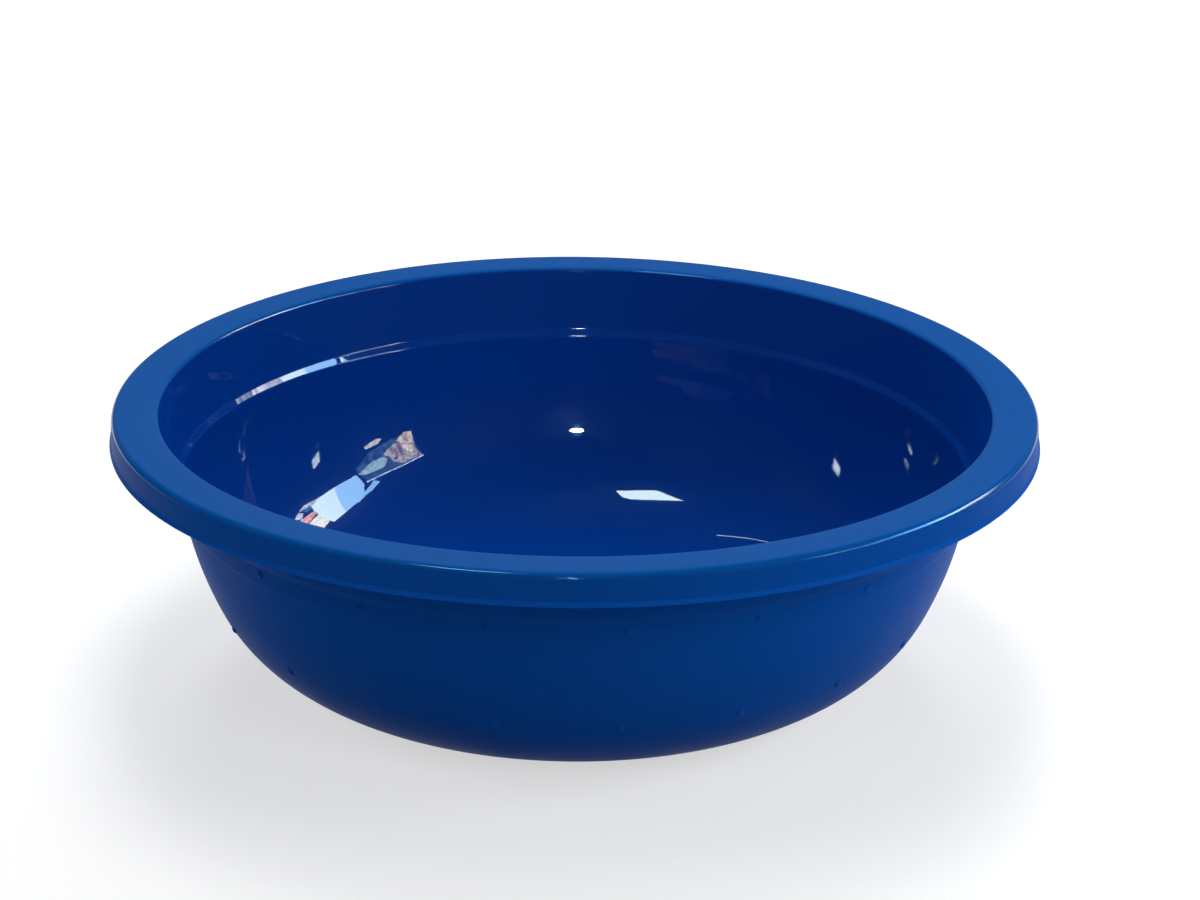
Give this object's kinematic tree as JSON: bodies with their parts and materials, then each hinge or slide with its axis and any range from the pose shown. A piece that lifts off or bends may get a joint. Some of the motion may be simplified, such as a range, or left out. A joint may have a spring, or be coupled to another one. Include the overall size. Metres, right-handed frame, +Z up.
{
  "type": "wash basin",
  "caption": "Round open plastic basin with a bulging bowl, a stepped shoulder inside and a wide flat rim that turns down into a short lipped skirt.",
  "frame": {"origin": "centre of the foot ring, on the plane that the basin stands on", "axes": "+Z up along the bowl's axis; the bowl is round, so X and Y differ only in where the small pips stand, and -Y faces the picture's camera"},
  "size_m": [0.503, 0.503, 0.15],
  "materials": {
    "basin_plastic": "smooth and glossy inside the bowl, satin on the rim and outside"
  },
  "bodies": {
    "root": {"basin": "basin_plastic"}
  },
  "joints": []
}
